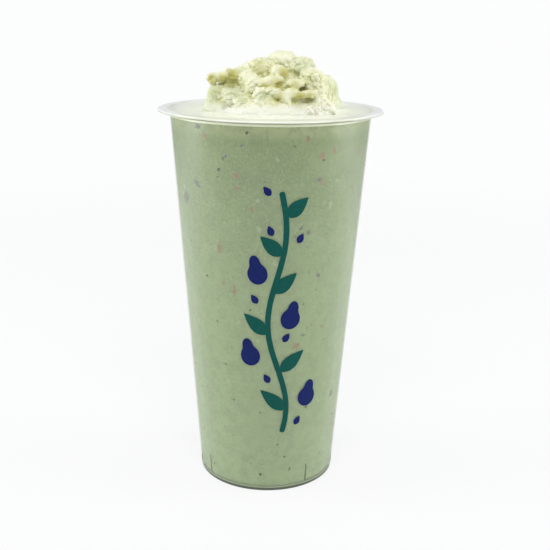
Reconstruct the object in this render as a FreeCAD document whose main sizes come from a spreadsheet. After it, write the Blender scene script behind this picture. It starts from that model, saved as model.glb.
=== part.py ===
"""Avocado shake in a clear moulded takeaway cup, with a heap of curdled avocado on top.

Millimetres, +Z up. The origin is on the cup's axis, on the surface that it stands on,
and -Y is the front. Three solids: the cup, the shake that fills it, and the heap.
"""
import FreeCAD
import Part
import Sketcher
import os
from collections import namedtuple
from math import cos, exp, log, pi, radians, sin, sqrt

Vector = FreeCAD.Vector
doc = FreeCAD.newDocument("avocado_shake")

# ---------------------------------------------------------------- driving sizes

SIZES = [
    ("cup_height", 164.0, "table to the top of the rim"),
    ("base_radius", 30.25, "outside of the wall at the table"),
    ("neck_radius", 42.6, "outside of the wall, carried up to the rim's top"),
    ("wall", 0.6, "side wall"),
    ("flange_overhang", 4.9, "flat lip, outwards from the wall"),
    ("flange_thickness", 1.0, "flat lip"),
    ("flange_round", 0.35, "rounding of the lip's outer edges"),
    ("band_height", 2.4, "stiffening band below the lip"),
    ("band_proud", 0.3, "band, outwards from the wall"),
    ("recess", 1.4, "hollow under the floor"),
    ("floor_thickness", 0.8, "floor"),
    ("foot_wall", 0.8, "ring that the cup stands on"),
    ("foot_round", 0.3, "rounding of the ring's outer edge"),
    ("rib_count", 4, "stacking ribs inside, at the floor"),
    ("rib_height", 8.6, "rib, above the floor"),
    ("rib_depth", 0.9, "rib, inwards from the wall"),
    ("rib_thickness", 0.6, "rib, along the wall"),
    ("rib_turn", 35.5, "degrees from +X to the first rib"),
    ("fill_gap", 1.2, "rim's top down to the shake"),
    ("heap_radius", 31.0, "foot of the heap"),
    ("heap_height", 25.0, "shake up to the heap's top"),
    ("heap_inset", 6.5, "heap's core, inwards from its foot"),
    ("heap_drop", 3.4, "heap's core, down from its top"),
    ("skirt_height", 2.6, "soft slush round the heap's foot"),
    ("curd_blend", 0.55, "softness of the creases between curds"),
]

sheet = doc.addObject("Spreadsheet::Sheet", "Sizes")
for row, (alias, value, meaning) in enumerate(SIZES, start=1):
    sheet.set(f"A{row}", alias)
    sheet.set(f"B{row}", str(value))
    sheet.set(f"C{row}", meaning)
    sheet.setAlias(f"B{row}", alias)
doc.recompute()


def size(alias):
    """The number that the sheet holds under this alias."""
    return float(sheet.get(alias))


# Radii and heights that several sketches share, as expressions on the sheet.
SLOPE = "((Sizes.neck_radius - Sizes.base_radius) / Sizes.cup_height)"
FLOOR_TOP = "(Sizes.recess + Sizes.floor_thickness)"
FLANGE_BASE = "(Sizes.cup_height - Sizes.flange_thickness)"
BAND_BASE = f"({FLANGE_BASE} - Sizes.band_height)"
LEVEL = "(Sizes.cup_height - Sizes.fill_gap)"


def outer_radius(height):
    """Expression for the outside of the side wall at a height."""
    return f"(Sizes.base_radius + {SLOPE} * {height})"


def inner_radius(height):
    """Expression for the inside of the side wall at a height."""
    return f"({outer_radius(height)} - Sizes.wall)"


# ---------------------------------------------------------------- sketch helper

# Sketcher's own numbers: its two axes, the ends of a line, and its root point, which
# is the start of the horizontal axis.
HORIZONTAL_AXIS, VERTICAL_AXIS = -1, -2
START, END = 1, 2
ZERO = "0"


def value_of(expression):
    """The number that an expression on the sheet gives now."""
    return float(sheet.evalExpression(expression.replace("Sizes.", "")))


def outline(body, name, corners):
    """Closed sketch of straight lines in the XZ plane.

    Each corner is a pair of expressions: distance from the axis, and height. A corner
    at ZERO is held on the sketch's axis.
    """
    sketch = body.newObject("Sketcher::SketchObject", name)
    plane = next(f for f in body.Origin.OriginFeatures if f.Role == "XZ_Plane")
    sketch.AttachmentSupport = [(plane, "")]
    sketch.MapMode = "FlatFace"
    points = [Vector(value_of(across), value_of(up), 0) for across, up in corners]
    count = len(corners)
    for index in range(count):
        line = Part.LineSegment(points[index], points[(index + 1) % count])
        sketch.addGeometry(line, False)
    for index in range(count):
        sketch.addConstraint(
            Sketcher.Constraint("Coincident", index, END, (index + 1) % count, START))
    for index, (across, up) in enumerate(corners):
        for kind, axis, length in (
            ("DistanceX", VERTICAL_AXIS, across),
            ("DistanceY", HORIZONTAL_AXIS, up),
        ):
            if length == ZERO:
                sketch.addConstraint(
                    Sketcher.Constraint("PointOnObject", index, START, axis))
                continue
            number = sketch.addConstraint(Sketcher.Constraint(
                kind, HORIZONTAL_AXIS, START, index, START, value_of(length)))
            sketch.setExpression(f"Constraints[{number}]", length)
    return sketch


# ---------------------------------------------------------------- cup

cup = doc.addObject("PartDesign::Body", "Cup")
cup.Label = "cup"
foot_inside = "(Sizes.base_radius - Sizes.foot_wall)"
band_outside = f"({outer_radius(BAND_BASE)} + Sizes.band_proud)"
lip_outside = "(Sizes.neck_radius + Sizes.flange_overhang)"
cup_section = outline(cup, "CupSection", [
    ("Sizes.base_radius", ZERO),
    (outer_radius(BAND_BASE), BAND_BASE),
    (band_outside, BAND_BASE),
    (f"({outer_radius(FLANGE_BASE)} + Sizes.band_proud)", FLANGE_BASE),
    (lip_outside, FLANGE_BASE),
    (lip_outside, "Sizes.cup_height"),
    ("(Sizes.neck_radius - Sizes.wall)", "Sizes.cup_height"),
    (inner_radius(FLOOR_TOP), FLOOR_TOP),
    (ZERO, FLOOR_TOP),
    (ZERO, "Sizes.recess"),
    (foot_inside, "Sizes.recess"),
    (foot_inside, ZERO),
])
turned = cup.newObject("PartDesign::Revolution", "Turned")
turned.Profile = cup_section
turned.ReferenceAxis = (cup_section, ["V_Axis"])
turned.Angle = 360.0
doc.recompute()

rib_top = f"({FLOOR_TOP} + Sizes.rib_height)"
rib_section = outline(cup, "RibSection", [
    (f"({inner_radius(FLOOR_TOP)} - Sizes.rib_depth)", FLOOR_TOP),
    (f"({inner_radius(FLOOR_TOP)} + Sizes.wall / 2)", FLOOR_TOP),
    (f"({inner_radius(rib_top)} + Sizes.wall / 2)", rib_top),
    (f"({inner_radius(rib_top)} - Sizes.rib_depth)", rib_top),
])
rib = cup.newObject("PartDesign::Pad", "Rib")
rib.Profile = rib_section
rib.SideType = "Symmetric"
rib.setExpression("Length", "Sizes.rib_thickness")
doc.recompute()

ribs = cup.newObject("PartDesign::PolarPattern", "Ribs")
ribs.Originals = [rib]
ribs.Axis = (cup_section, ["V_Axis"])
ribs.Angle = 360.0
ribs.setExpression("Occurrences", "Sizes.rib_count")
cup.Tip = ribs
doc.recompute()


def round_edges(body, name, base, heights, radius, rounding):
    """Fillet the full circles of one radius that lie at the given heights."""
    found = []
    for number, edge in enumerate(base.Shape.Edges, start=1):
        middle = edge.BoundBox
        at_height = any(
            abs(middle.ZMin - z) < 1e-4 and abs(middle.ZMax - z) < 1e-4 for z in heights)
        if at_height and abs(middle.XMax - radius) < 1e-2:
            found.append(f"Edge{number}")
    fillet = body.newObject("PartDesign::Fillet", name)
    fillet.Base = (base, found)
    fillet.setExpression("Radius", rounding)
    body.Tip = fillet
    doc.recompute()
    return fillet


lip_heights = [value_of(FLANGE_BASE), size("cup_height")]
lip_rounded = round_edges(
    cup, "LipRounded", ribs, lip_heights, value_of(lip_outside), "Sizes.flange_round")
foot_rounded = round_edges(
    cup, "FootRounded", lip_rounded, [0.0], size("base_radius"), "Sizes.foot_round")
cup.setExpression("Placement.Rotation.Angle", "Sizes.rib_turn")

# ---------------------------------------------------------------- shake

# A blank that ends half-way into the floor and the wall, less the cup: it meets the
# cup face to face everywhere, round the ribs too.
blank_base = "(Sizes.recess + Sizes.floor_thickness / 2)"
blank = doc.addObject("Part::Cone", "ShakeBlank")
blank.setExpression("Radius1", f"{inner_radius(blank_base)} + Sizes.wall / 2")
blank.setExpression("Radius2", f"{inner_radius(LEVEL)} + Sizes.wall / 2")
blank.setExpression("Height", f"{LEVEL} - {blank_base}")
blank.setExpression("Placement.Base.z", blank_base)
shake = doc.addObject("Part::Cut", "Shake")
shake.Label = "shake"
shake.Base = blank
shake.Tool = cup
doc.recompute()

# ---------------------------------------------------------------- heap

# The heap is a core, a low skirt and curds, each an ellipsoid. A curd's place is in
# shares of the heap's radius (x, y) and height (z), and its half sizes are in mm.
# turn is about Z, and tilt lifts its +X end, both in degrees.
Curd = namedtuple("Curd", "x y z half_x half_y half_z turn tilt", defaults=(0, 0))

FRONT_CURDS = {
    "shoulder": Curd(-0.34, -0.08, 0.22, 11.0, 13.0, 9.0),
    "branch": Curd(-0.61, -0.20, 0.56, 8.2, 4.0, 3.1, 8, 6),
    "branch_tip": Curd(-0.80, -0.22, 0.55, 3.2, 4.2, 3.3),
    "under_branch": Curd(-0.76, -0.26, 0.23, 4.4, 4.4, 4.6),
    "left_block": Curd(-0.30, -0.48, 0.48, 5.2, 4.8, 6.0),
    "left_crest": Curd(-0.11, -0.22, 0.70, 5.6, 5.6, 5.0),
    "summit": Curd(0.17, -0.05, 0.79, 6.4, 7.0, 4.6),
    "right_crest": Curd(0.40, -0.20, 0.70, 6.2, 6.0, 5.6),
    "drop": Curd(0.16, -0.50, 0.67, 2.8, 3.2, 4.0),
    "upper_fold": Curd(-0.04, -0.64, 0.50, 6.0, 3.0, 2.6),
    "middle_fold": Curd(0.33, -0.68, 0.46, 4.6, 2.8, 2.4, 0, -8),
    "right_block": Curd(0.56, -0.48, 0.50, 4.8, 4.6, 5.4),
    "low_curd": Curd(-0.04, -0.71, 0.24, 5.2, 3.5, 3.6),
    "low_fold": Curd(0.40, -0.71, 0.26, 7.0, 3.4, 2.8),
    "right_flank": Curd(0.75, -0.22, 0.28, 5.8, 5.4, 7.6),
    "right_toe": Curd(0.86, -0.05, 0.08, 4.0, 5.0, 4.0),
    "front_ridge": Curd(0.52, -0.60, 0.06, 7.5, 5.0, 4.4),
    "round_curd": Curd(-0.36, -0.70, 0.12, 3.2, 3.0, 3.2),
}

BACK_CURDS = 13
GOLDEN_ANGLE = 137.5
GOLDEN_SHARE = 0.618


def back_curd(index):
    """A curd on the heap's back half, scattered by the golden angle."""
    turn = radians(index * GOLDEN_ANGLE) % pi
    climb = radians(14 + 52 * (index * GOLDEN_SHARE % 1.0))
    girth = 5.0 + 1.6 * sin(2.4 * index)
    return Curd(
        0.10 + 0.68 * cos(climb) * cos(turn),
        0.02 + 0.72 * cos(climb) * sin(turn),
        0.80 * sin(climb),
        girth, 0.9 * girth, 0.8 * girth)


def untwist(vector, turn, tilt):
    """A vector in the axes of a curd that is turned about Z and tilted about Y."""
    x, y, z = vector
    x, y = x * cos(turn) + y * sin(turn), y * cos(turn) - x * sin(turn)
    return x * cos(tilt) + z * sin(tilt), y, z * cos(tilt) - x * sin(tilt)


def exit_distance(direction, centre, halves, turn, tilt):
    """How far a ray from the origin runs before it leaves an ellipsoid, or None."""
    start = [-c / h for c, h in zip(untwist(centre, turn, tilt), halves)]
    way = [d / h for d, h in zip(untwist(direction, turn, tilt), halves)]
    along = sum(s * w for s, w in zip(start, way))
    length_squared = sum(w * w for w in way)
    root = along * along - length_squared * (sum(s * s for s in start) - 1)
    if root <= 0:
        return None
    return (sqrt(root) - along) / length_squared


def heap_lumps():
    """Centre, half sizes, turn and tilt of everything the heap is made of."""
    radius, height = size("heap_radius"), size("heap_height")
    core = radius - size("heap_inset")
    lumps = [
        ((0.10 * radius, 0, 0), (core, core, height - size("heap_drop")), 0, 0),
        ((0, 0, 0), (radius, 0.84 * radius, size("skirt_height")), 0, 0),
    ]
    curds = list(FRONT_CURDS.values()) + [back_curd(i) for i in range(BACK_CURDS)]
    for curd in curds:
        centre = (curd.x * radius, curd.y * radius, curd.z * height)
        halves = (curd.half_x, curd.half_y, curd.half_z)
        lumps.append((centre, halves, radians(curd.turn), radians(curd.tilt)))
    return lumps


def reach(direction, lumps, blend):
    """Distance from the heap's foot centre to its skin: the furthest lump, blended."""
    exits = [exit_distance(direction, *lump) for lump in lumps]
    exits = [distance for distance in exits if distance is not None]
    furthest = max(exits)
    return furthest + blend * log(sum(exp((d - furthest) / blend) for d in exits))


AROUND = 96
UPWARDS = 24


def smoothed(grid):
    """Each value averaged 1-2-1 with its neighbours round and up the heap."""
    weights = ((-1, 1), (0, 2), (1, 1))
    result = []
    for row in range(UPWARDS):
        result.append([])
        for column in range(AROUND):
            total = 0
            for up, up_weight in weights:
                near_row = min(max(row + up, 0), UPWARDS - 1)
                for across, across_weight in weights:
                    near = grid[near_row][(column + across) % AROUND]
                    total += near * up_weight * across_weight
            result[-1].append(total / 16)
    return result


def heap_solid():
    """The heap as a closed faceted solid, flat below, with its foot centre at 0."""
    lumps, blend = heap_lumps(), size("curd_blend")
    directions = []
    for row in range(UPWARDS):
        climb = pi / 2 * row / UPWARDS
        turns = [2 * pi * column / AROUND for column in range(AROUND)]
        directions.append(
            [Vector(cos(climb) * cos(a), cos(climb) * sin(a), sin(climb)) for a in turns])
    grid = smoothed([[reach(d, lumps, blend) for d in row] for row in directions])
    points = [
        direction * distance
        for directions_row, grid_row in zip(directions, grid)
        for direction, distance in zip(directions_row, grid_row)]
    top = len(points)
    points.append(Vector(0, 0, reach((0, 0, 1), lumps, blend)))
    bottom = len(points)
    points.append(Vector(0, 0, 0))
    triangles = []
    for column in range(AROUND):
        after = (column + 1) % AROUND
        for row in range(UPWARDS - 1):
            low, high = row * AROUND, (row + 1) * AROUND
            triangles.append((low + column, low + after, high + after))
            triangles.append((low + column, high + after, high + column))
        last = (UPWARDS - 1) * AROUND
        triangles.append((last + column, last + after, top))
        triangles.append((after, column, bottom))
    shell = Part.Shape()
    shell.makeShapeFromMesh((points, triangles), 1e-4)
    return Part.Solid(Part.Shell(shell.Faces))


topping = doc.addObject("Part::Feature", "Topping")
topping.Label = "topping"
topping.Shape = heap_solid()
topping.Placement = FreeCAD.Placement(Vector(0, 0, value_of(LEVEL)), FreeCAD.Rotation())
doc.recompute()

# ---------------------------------------------------------------- checks and files

for item in doc.Objects:
    if "Invalid" in item.State or "Error" in item.State:
        raise RuntimeError(f"{item.Name} failed: {item.State}")

os.makedirs("parts", exist_ok=True)
for piece in (cup, shake, topping):
    shape = piece.Shape
    if shape.isNull() or not shape.isValid() or len(shape.Solids) != 1:
        raise RuntimeError(f"{piece.Label} isn't one valid solid")
    shape.exportStep(f"parts/{piece.Label}.step")
    box = shape.optimalBoundingBox()
    print(f"{piece.Label}: {shape.Volume / 1000:.1f} cm3, "
          f"X {box.XMin:.2f}..{box.XMax:.2f}, Y {box.YMin:.2f}..{box.YMax:.2f}, "
          f"Z {box.ZMin:.2f}..{box.ZMax:.2f}")
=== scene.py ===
# Avocado shake in a see-through takeaway cup, with a heap of icy avocado curds on top.
# Metres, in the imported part's frame: +Z up the cup's axis, -Y the printed front.

import random
from math import cos, degrees, exp, hypot, pi, radians, sin, sqrt

import bmesh
import bpy
import numpy as np
from mathutils import Euler, Matrix, Vector, noise


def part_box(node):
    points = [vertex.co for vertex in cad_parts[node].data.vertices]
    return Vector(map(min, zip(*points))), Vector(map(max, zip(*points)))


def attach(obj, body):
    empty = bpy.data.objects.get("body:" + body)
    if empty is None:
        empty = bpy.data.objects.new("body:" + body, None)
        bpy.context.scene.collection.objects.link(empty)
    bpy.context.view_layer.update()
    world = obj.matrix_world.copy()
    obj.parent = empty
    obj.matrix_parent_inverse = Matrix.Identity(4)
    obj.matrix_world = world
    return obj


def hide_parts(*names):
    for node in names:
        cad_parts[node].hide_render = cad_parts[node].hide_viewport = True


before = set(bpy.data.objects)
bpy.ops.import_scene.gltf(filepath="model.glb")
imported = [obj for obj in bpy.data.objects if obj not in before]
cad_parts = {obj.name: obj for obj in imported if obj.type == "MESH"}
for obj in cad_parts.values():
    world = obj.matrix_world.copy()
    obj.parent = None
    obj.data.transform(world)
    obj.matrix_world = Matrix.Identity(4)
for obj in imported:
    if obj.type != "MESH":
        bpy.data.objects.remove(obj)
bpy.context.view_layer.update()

# ---- Cup --------------------------------------------------------------------------
# One injection moulding in slightly milky polypropylene: a thin tapered wall, a flat
# lip with rounded edges, a stiffening band under the lip, and a floor set up inside a
# foot ring. The shake shows through the wall, and the thick parts look whiter.

MM = 0.001
cup_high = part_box("cup")[1]
shake_low, shake_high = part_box("shake")
CUP_HEIGHT, RIM_RADIUS = cup_high.z, cup_high.x
FLOOR_TOP, LEVEL = shake_low.z, shake_high.z
BASE_RADIUS = 30.25 * MM
NECK_RADIUS = 42.6 * MM
WALL = 0.6 * MM
LIP_THICKNESS = 1.0 * MM
LIP_ROUND_UNDER, LIP_ROUND_OVER = 0.25 * MM, 0.6 * MM
INNER_ROUND = 0.25 * MM
BEAD_LOW, BEAD_HIGH = CUP_HEIGHT - 2.9 * MM, CUP_HEIGHT - 1.85 * MM
BEAD_PROUD = 0.5 * MM
RECESS = 1.4 * MM
FOOT_WALL = 0.8 * MM
FOOT_ROUND = 0.3 * MM
AROUND = 288
WALL_STEPS = 24
PLASTIC_IOR = 1.49

# How milky the thin wall is, and how glossy the matt edge of the lip and the rest are.
THIN_VEIL = 0.07
LEAST_GLANCE, MOST_GLANCE = 0.02, 0.13


def wall_radius(height):
    """Outside of the cup's side wall."""
    return BASE_RADIUS + (NECK_RADIUS - BASE_RADIUS) * height / CUP_HEIGHT


def quarter(centre_r, centre_z, radius, start, steps=5):
    """Points of a quarter turn, anticlockwise from a direction in degrees."""
    turns = [radians(start + 90 * step / steps) for step in range(steps + 1)]
    return [(centre_r + radius * cos(a), centre_z + radius * sin(a)) for a in turns]


def turned(profile, around=AROUND):
    """Vertices and faces of a profile of (radius, height) turned about the Z axis."""
    vertices, rings = [], []
    for radius, height in profile:
        if radius < 1e-7:
            rings.append([len(vertices)])
            vertices.append((0, 0, height))
            continue
        rings.append(list(range(len(vertices), len(vertices) + around)))
        for step in range(around):
            turn = 2 * pi * step / around
            vertices.append((radius * cos(turn), radius * sin(turn), height))
    faces = []
    for lower, upper in zip(rings, rings[1:]):
        for step in range(around):
            after = (step + 1) % around
            low = [lower[0]] if len(lower) == 1 else [lower[step], lower[after]]
            high = [upper[0]] if len(upper) == 1 else [upper[after], upper[step]]
            if len(low) + len(high) > 2:
                faces.append(low + high)
    return vertices, faces


def make_piece(name, vertices, faces, sharp=40):
    """A smooth shaded piece of the part whose edges over an angle stay crisp."""
    mesh = bpy.data.meshes.new(name)
    mesh.from_pydata([tuple(v) for v in vertices], [], faces)
    shape = bmesh.new()
    shape.from_mesh(mesh)
    for face in shape.faces:
        face.smooth = True
    for edge in shape.edges:
        if len(edge.link_faces) == 2 and edge.calc_face_angle() > radians(sharp):
            edge.smooth = False
    shape.to_mesh(mesh)
    shape.free()
    piece = bpy.data.objects.new(name, mesh)
    bpy.context.scene.collection.objects.link(piece)
    return piece


def rgb(red, green, blue):
    """A colour from its 0 to 255 values, as a shader wants it."""
    shares = [value / 255 for value in (red, green, blue)]
    lit = [s / 12.92 if s <= 0.04045 else ((s + 0.055) / 1.055) ** 2.4 for s in shares]
    return (*lit, 1.0)


def start_material(name):
    """A new material and its node tree, still empty."""
    material = bpy.data.materials.new(name)
    material.use_nodes = True
    material.node_tree.nodes.clear()
    return material, material.node_tree


def node(tree, kind, inputs=(), **settings):
    """A shader node with its settings made and its inputs set or linked."""
    made = tree.nodes.new(kind)
    for name, value in settings.items():
        setattr(made, name, value)
    for name, value in dict(inputs).items():
        if isinstance(value, bpy.types.NodeSocket):
            tree.links.new(value, made.inputs[name])
        else:
            made.inputs[name].default_value = value
    return made


def dress(piece, material, shader):
    """Lay a material on a piece, with a shader as its surface."""
    tree = material.node_tree
    node(tree, "ShaderNodeOutputMaterial", {"Surface": shader.outputs[0]})
    piece.data.materials.append(material)


def maths(tree, operation, first, second=0.0):
    """The result of one sum on two numbers or sockets."""
    return node(tree, "ShaderNodeMath", {0: first, 1: second}, operation=operation).outputs[0]


def ramped(tree, value, low, high, to_low=0.0, to_high=1.0):
    """A value carried smoothly from one range to another, and kept inside it."""
    made = node(tree, "ShaderNodeMapRange", {
        "Value": value, "From Min": low, "From Max": high,
        "To Min": to_low, "To Max": to_high}, interpolation_type="SMOOTHSTEP")
    return made.outputs["Result"]


def blended(tree, share, first, second):
    """Two colours mixed by a share."""
    made = node(tree, "ShaderNodeMix", {0: share, 6: first, 7: second}, data_type="RGBA")
    return made.outputs[2]


def grain(tree, position, scale, detail=3.0, roughness=0.55):
    """A noise value at a scale in waves for each metre."""
    made = node(tree, "ShaderNodeTexNoise", {
        "Vector": position, "Scale": scale, "Detail": detail, "Roughness": roughness})
    return made.outputs["Fac"]


def own_place(tree):
    """A point's place on its piece: the whole place, its Y and its height."""
    place = node(tree, "ShaderNodeTexCoord").outputs["Object"]
    parts = node(tree, "ShaderNodeSeparateXYZ", {0: place}).outputs
    return place, parts["Y"], parts["Z"]


def out_from_axis(tree, place):
    """How far a place lies out from the cup's axis."""
    level = node(tree, "ShaderNodeVectorMath", {0: place, 1: (1, 1, 0)}, operation="MULTIPLY")
    length = node(tree, "ShaderNodeVectorMath", {0: level.outputs[0]}, operation="LENGTH")
    return length.outputs["Value"]


lip_base = CUP_HEIGHT - LIP_THICKNESS
foot_inside = BASE_RADIUS - FOOT_WALL
cup_profile = [(0, RECESS), (foot_inside * 0.6, RECESS), (foot_inside, RECESS), (foot_inside, 0)]
cup_profile += quarter(BASE_RADIUS - FOOT_ROUND, FOOT_ROUND, FOOT_ROUND, -90)
for step in range(1, WALL_STEPS + 1):
    height = FOOT_ROUND + (BEAD_LOW - FOOT_ROUND) * step / WALL_STEPS
    cup_profile.append((wall_radius(height), height))
bead_edge = wall_radius(BEAD_HIGH) + BEAD_PROUD
cup_profile += [
    (bead_edge - 0.15 * MM, BEAD_LOW + 0.05 * MM),
    (bead_edge, BEAD_LOW + 0.2 * MM),
    (bead_edge - 0.02 * MM, BEAD_HIGH - 0.3 * MM),
    (bead_edge - 0.15 * MM, BEAD_HIGH - 0.1 * MM),
    (bead_edge - 0.4 * MM, BEAD_HIGH),
    (wall_radius(lip_base) + 0.1 * MM, BEAD_HIGH + 0.1 * MM),
    (wall_radius(lip_base) + 0.1 * MM, lip_base - 0.15 * MM),
    (wall_radius(lip_base) + 0.25 * MM, lip_base),
]
cup_profile += quarter(RIM_RADIUS - LIP_ROUND_UNDER, lip_base + LIP_ROUND_UNDER,
                       LIP_ROUND_UNDER, -90)
cup_profile += quarter(RIM_RADIUS - LIP_ROUND_OVER, CUP_HEIGHT - LIP_ROUND_OVER,
                       LIP_ROUND_OVER, 0, 7)
inner_top = NECK_RADIUS - WALL + INNER_ROUND
cup_profile += quarter(inner_top, CUP_HEIGHT - INNER_ROUND, INNER_ROUND, 90)
for share in (1.0, 0.75, 0.5, 0.25, 0.0):
    height = FLOOR_TOP + (LEVEL - FLOOR_TOP) * share
    cup_profile.append((wall_radius(height) - WALL, height))
cup_profile.append((0, FLOOR_TOP))
cup = make_piece("cup_moulding", *turned(cup_profile))

milky_plastic, tree = start_material("milky_polypropylene")
place, place_y, height = own_place(tree)
outward_share = ramped(
    tree, out_from_axis(tree, place), NECK_RADIUS, NECK_RADIUS + 2 * MM)
lip_share = ramped(tree, height, lip_base - 0.1 * MM, lip_base + 0.15 * MM)
bead_share = maths(tree, "MULTIPLY",
                   ramped(tree, height, BEAD_LOW, BEAD_LOW + 0.15 * MM),
                   ramped(tree, height, BEAD_HIGH + 0.1 * MM, BEAD_HIGH - 0.1 * MM))
# The wall between the bead and the lip gets a whiter veil as painted light, lifting the shade
# that the lip casts there.
gap_share = ramped(tree, height, BEAD_HIGH, BEAD_HIGH + 0.2 * MM)
floor_share = ramped(tree, height, FLOOR_TOP, FLOOR_TOP - 0.3 * MM)
# The foot ring is painted dark green-grey as the shade of the hollow under the floor, seen
# through it.
foot_painted_shade = ramped(tree, height, RECESS + 0.1 * MM, RECESS - 0.15 * MM)
edge_on = node(tree, "ShaderNodeLayerWeight", {"Blend": 0.35}).outputs["Facing"]
clouds = grain(tree, place, 160)
veil = THIN_VEIL
# The veil is whiter at grazing angles, in random clouds, on the thick lip, bead and floor, and
# in the gap under the lip as painted light.
for whiter_share, milk in (
        (maths(tree, "POWER", edge_on, 2.2), 0.22), (clouds, 0.05), (lip_share, 0.85),
        (bead_share, 0.93), (gap_share, 0.5), (floor_share, 0.85)):
    veil = maths(tree, "ADD", veil, maths(tree, "MULTIPLY", whiter_share, milk))
facing = node(tree, "ShaderNodeNewGeometry").outputs["Normal"]
facing_up = node(tree, "ShaderNodeSeparateXYZ", {0: facing}).outputs["Z"]
# The lip's side and underside faces, picked by their normals, are matt and painted darker as
# shade; at the front they are painted white as a highlight line.
matt_painted_lip_edge = maths(tree, "MULTIPLY", lip_share, ramped(tree, facing_up, 0.5, 0.15))
# The lip's outer top is bluish white, painted cream at the front as light scattered up from the
# shake.
lip_front_painted_light = ramped(tree, place_y, -0.42 * RIM_RADIUS, -0.78 * RIM_RADIUS)
rim_colour = blended(tree, lip_front_painted_light, rgb(250, 253, 255), rgb(229, 232, 212))
lip_colour = blended(tree, outward_share, rgb(240, 243, 228), rim_colour)
lip_front_highlight = ramped(tree, place_y, -0.80 * RIM_RADIUS, -0.95 * RIM_RADIUS)
lip_edge_shade_and_highlight = blended(tree, lip_front_highlight, rgb(208, 213, 196), rgb(253, 255, 243))
lip_colour = blended(tree, matt_painted_lip_edge, lip_colour, lip_edge_shade_and_highlight)
# The bead is milky white and is painted brighter towards the front as light.
bead_front_painted_light = ramped(tree, place_y, -0.6 * NECK_RADIUS, -0.98 * NECK_RADIUS)
bead_colour = blended(tree, bead_front_painted_light, rgb(226, 231, 202), rgb(255, 255, 232))
wall_edge = ramped(tree, edge_on, 0.72, 0.96)
plastic_colour = blended(tree, wall_edge, rgb(196, 205, 184), rgb(160, 174, 140))
# The foot ring's dark colour is painted shade.
for share, colour in (
        (lip_share, lip_colour), (bead_share, bead_colour),
        (floor_share, rgb(154, 168, 134)), (foot_painted_shade, rgb(68, 80, 56))):
    plastic_colour = blended(tree, share, plastic_colour, colour)
haze = node(tree, "ShaderNodeBsdfPrincipled", {
    "Base Color": plastic_colour, "Roughness": 0.34, "IOR": PLASTIC_IOR})
clear = node(tree, "ShaderNodeBsdfTransparent", {"Color": (0.97, 0.98, 0.97, 1)})
wall_shader = node(tree, "ShaderNodeMixShader", {
    0: maths(tree, "MINIMUM", veil, 1.0), 1: clear.outputs[0], 2: haze.outputs[0]})
glance = node(tree, "ShaderNodeFresnel", {"IOR": PLASTIC_IOR}).outputs[0]
glance = maths(
    tree, "MINIMUM", glance, ramped(tree, matt_painted_lip_edge, 0, 1, MOST_GLANCE, LEAST_GLANCE))
ripple = node(tree, "ShaderNodeBump", {
    "Height": grain(tree, place, 420, 2.0), "Distance": 0.02 * MM, "Strength": 0.5})
gloss = node(tree, "ShaderNodeBsdfGlossy", {
    "Color": (1, 1, 1, 1),
    "Roughness": ramped(tree, clouds, 0.3, 0.7, 0.16, 0.26),
    "Normal": ripple.outputs[0]})
both = node(tree, "ShaderNodeMixShader", {
    0: glance, 1: wall_shader.outputs[0], 2: gloss.outputs[0]})
dress(cup, milky_plastic, both)
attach(cup, "root")
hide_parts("cup")

# ---- Stacking ribs ----------------------------------------------------------------
# Four short upright ribs inside, where the wall meets the floor. They are part of the
# same moulding and keep nested cups apart. They are painted dark green as the shade
# deep in the shake that shows through them.

RIB_COUNT = 4
RIB_TURN = radians(35.5)
RIB_TOP = FLOOR_TOP + 8.6 * MM
RIB_HALF = 0.3 * MM
RIB_DEPTH = 0.9 * MM
RIB_TAPER = ((FLOOR_TOP, 1.0), (RIB_TOP - 1.5 * MM, 0.9), (RIB_TOP, 0.35))

rib_vertices, rib_faces = [], []
for index in range(RIB_COUNT):
    turn = RIB_TURN + index * 2 * pi / RIB_COUNT
    outward = Vector((cos(turn), sin(turn), 0))
    across = Vector((-sin(turn), cos(turn), 0))
    first = len(rib_vertices)
    for height, taper in RIB_TAPER:
        outside = wall_radius(height) - 0.3 * WALL
        for radius in (outside - RIB_DEPTH * taper, outside):
            for side in (-RIB_HALF * taper, RIB_HALF * taper):
                rib_vertices.append(outward * radius + across * side + Vector((0, 0, height)))
    for low in (first, first + 4):
        for a, b in ((0, 1), (1, 3), (3, 2), (2, 0)):
            rib_faces.append((low + a, low + b, low + b + 4, low + a + 4))
    rib_faces.append((first, first + 2, first + 3, first + 1))
    rib_faces.append((first + 8, first + 9, first + 11, first + 10))
ribs = make_piece("stacking_ribs", rib_vertices, rib_faces)

rib_plastic, tree = start_material("rib_plastic_painted_shade")
place = node(tree, "ShaderNodeTexCoord").outputs["Object"]
# Painted shade: dark green for the shake seen deep through the clear ribs.
rib_shade_colour = blended(tree, grain(tree, place, 500), rgb(70, 88, 52), rgb(104, 120, 80))
rib_shader = node(tree, "ShaderNodeBsdfPrincipled", {
    "Base Color": rib_shade_colour, "Roughness": 0.4, "IOR": PLASTIC_IOR})
dress(ribs, rib_plastic, rib_shader)
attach(ribs, "root")

# ---- Shake ------------------------------------------------------------------------
# Avocado, milk and ice blended thick: opaque pale green, filled almost to the lip. It
# wets the wall all round, so its skin lies just inside the plastic, and its top is a
# paler froth that climbs the wall a little and swells towards the heap. Its colour is
# painted paler low down and near the top as light, and darker under the lip as shade.

SKIN = 0.2 * MM
SIDE_STEPS = 40
FROTH_RINGS = 84
FROTH_DEPTH = 0.4 * MM
CLIMB, CLIMB_REACH = 0.75 * MM, 0.9 * MM
SWELL, SWELL_REACH = 1.0 * MM, 4.0 * MM
AVOCADO_IOR = 1.36
HEAP_MIDDLE = 0.8 * MM
HEAP_REACH_X, HEAP_REACH_Y = 31.0 * MM, 26.5 * MM


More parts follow.
